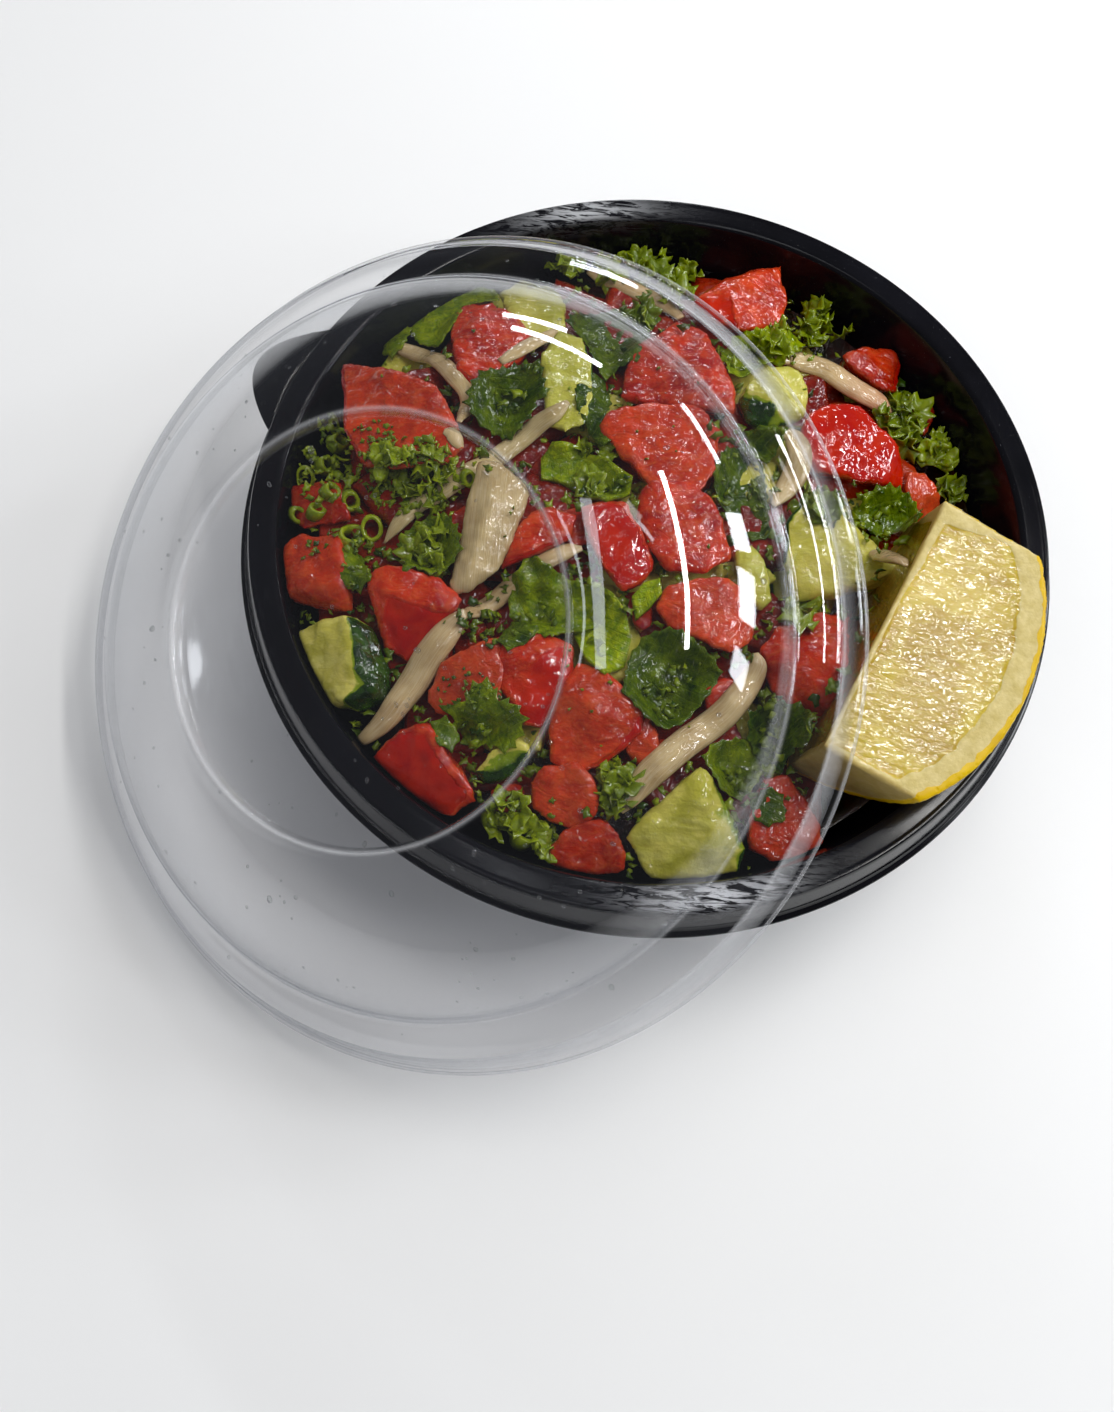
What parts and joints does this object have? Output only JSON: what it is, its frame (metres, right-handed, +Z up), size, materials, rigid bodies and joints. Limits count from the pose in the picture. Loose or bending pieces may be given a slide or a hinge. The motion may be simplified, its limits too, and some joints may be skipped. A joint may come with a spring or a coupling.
{
  "type": "shepherd salad in a takeaway bowl",
  "caption": "Heaped salad of chopped tomato, cucumber, onion and herbs with a lemon wedge, in a round black takeaway bowl with its clear domed lid leaning over the rim",
  "frame": {"origin": "centre of the bowl's flat bottom, on the table", "axes": "+Z up along the bowl's axis, +Y away from the camera and toward the top of the picture, +X to the right of the picture; the bowl's ear is at the left"},
  "size_m": [0.2146, 0.2052, 0.0933],
  "materials": {
    "black_plastic": "glossy black thermoformed plastic",
    "salad": "wet chopped vegetables and herbs",
    "lemon": "cut lemon, moist pulp and waxy rind",
    "clear_plastic": "thin clear thermoformed plastic"
  },
  "bodies": {
    "root": {"bowl": "black_plastic", "salad": "salad", "lemon_wedge": "lemon", "lid": "clear_plastic"}
  },
  "joints": []
}
